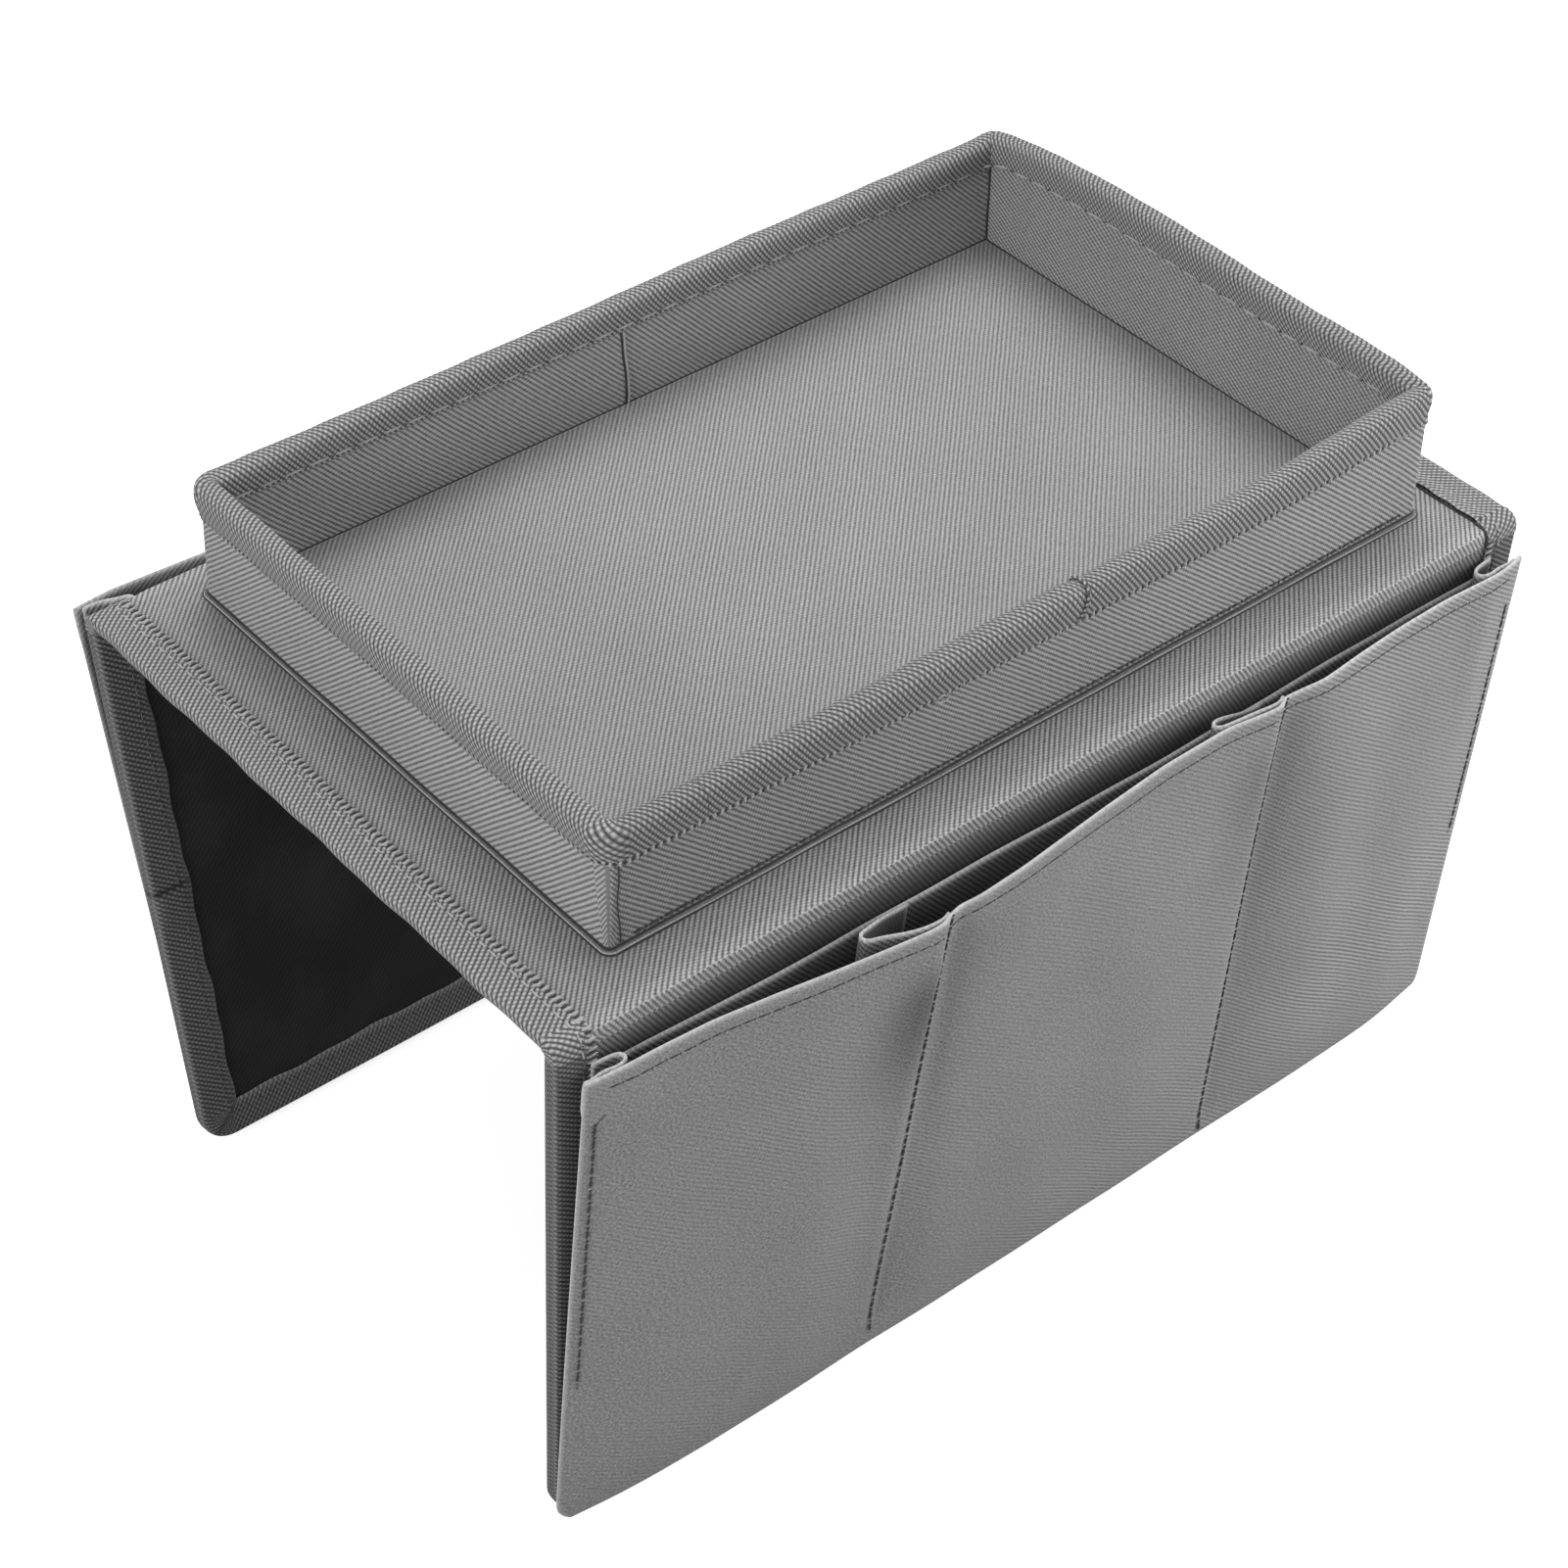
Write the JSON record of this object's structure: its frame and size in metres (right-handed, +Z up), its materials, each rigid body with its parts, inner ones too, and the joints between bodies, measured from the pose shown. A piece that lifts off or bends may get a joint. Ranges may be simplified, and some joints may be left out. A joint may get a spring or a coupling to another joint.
{
  "type": "sofa arm tray",
  "caption": "Stiffened cloth saddle for a sofa arm with a shallow tray sewn on top and bellows pockets on two hanging flaps.",
  "frame": {"origin": "centre of the top panel's underside, which lies on the sofa's arm", "axes": "+X along the sofa's arm, +Y across it towards the rear flap, +Z up"},
  "size_m": [0.33, 0.2313, 0.2202],
  "materials": {
    "cover_cloth": "ribbed woven polyester, matt",
    "binding_tape": "waffle-ribbed woven tape, matt",
    "lining_cloth": "coated woven back, near black",
    "stiffening_board": "plain sheet"
  },
  "bodies": {
    "saddle": {"top_cover": "cover_cloth", "top_board": "stiffening_board", "top_lining": "lining_cloth", "left_end_binding": "binding_tape", "right_end_binding": "binding_tape", "tray_floor_board": "stiffening_board", "tray_floor_cover": "cover_cloth", "tray_front_wall_board": "stiffening_board", "tray_rear_wall_board": "stiffening_board", "tray_left_wall_board": "stiffening_board", "tray_right_wall_board": "stiffening_board", "tray_outer_wall_cloth": "cover_cloth", "tray_inner_wall_cloth": "cover_cloth", "tray_rim_binding": "binding_tape", "tray_base_seam": "cover_cloth", "front_fold_cover": "cover_cloth", "front_fold_lining": "lining_cloth", "front_fold_bindings": "binding_tape", "rear_fold_cover": "cover_cloth", "rear_fold_lining": "lining_cloth", "rear_fold_bindings": "binding_tape"},
    "front_flap": {"front_flap_cover": "cover_cloth", "front_flap_board": "stiffening_board", "front_flap_lining": "lining_cloth", "front_flap_binding": "binding_tape", "front_pocket_back": "cover_cloth", "front_pocket_bottom_hem": "cover_cloth", "front_left_divider": "cover_cloth", "front_right_divider": "cover_cloth", "front_left_end_gusset": "cover_cloth", "front_right_end_gusset": "cover_cloth"},
    "front_pocket": {"front_pocket_front": "cover_cloth"},
    "rear_flap": {"rear_flap_cover": "cover_cloth", "rear_flap_board": "stiffening_board", "rear_flap_lining": "lining_cloth", "rear_flap_binding": "binding_tape", "rear_pocket_back": "cover_cloth", "rear_pocket_bottom_hem": "cover_cloth", "rear_left_divider": "cover_cloth", "rear_right_divider": "cover_cloth", "rear_left_end_gusset": "cover_cloth", "rear_right_end_gusset": "cover_cloth"},
    "rear_pocket": {"rear_pocket_front": "cover_cloth"}
  },
  "joints": [
    {"name": "front_flap_fold", "type": "hinge", "parent": "saddle", "child": "front_flap", "pos_m": [0, -0.0985, -0.0013], "axis": [-1, 0, 0], "range_deg": [-47.5, 92.5], "deforming": ["front_fold_cover", "front_fold_lining", "front_fold_bindings"]},
    {"name": "front_pocket_open", "type": "hinge", "parent": "front_flap", "child": "front_pocket", "pos_m": [0, -0.09785, -0.17894], "axis": [1, 0, 0], "range_deg": [-1.5, 10], "deforming": ["front_left_divider", "front_right_divider", "front_left_end_gusset", "front_right_end_gusset"]},
    {"name": "rear_flap_fold", "type": "hinge", "parent": "saddle", "child": "rear_flap", "pos_m": [0, 0.0985, -0.0013], "axis": [1, 0, 0], "range_deg": [-78.5, 98.5], "deforming": ["rear_fold_cover", "rear_fold_lining", "rear_fold_bindings"]},
    {"name": "rear_pocket_open", "type": "hinge", "parent": "rear_flap", "child": "rear_pocket", "pos_m": [0, 0.07929, -0.1779], "axis": [-1, 0, 0], "range_deg": [-1.5, 10], "deforming": ["rear_left_divider", "rear_right_divider", "rear_left_end_gusset", "rear_right_end_gusset"]}
  ]
}
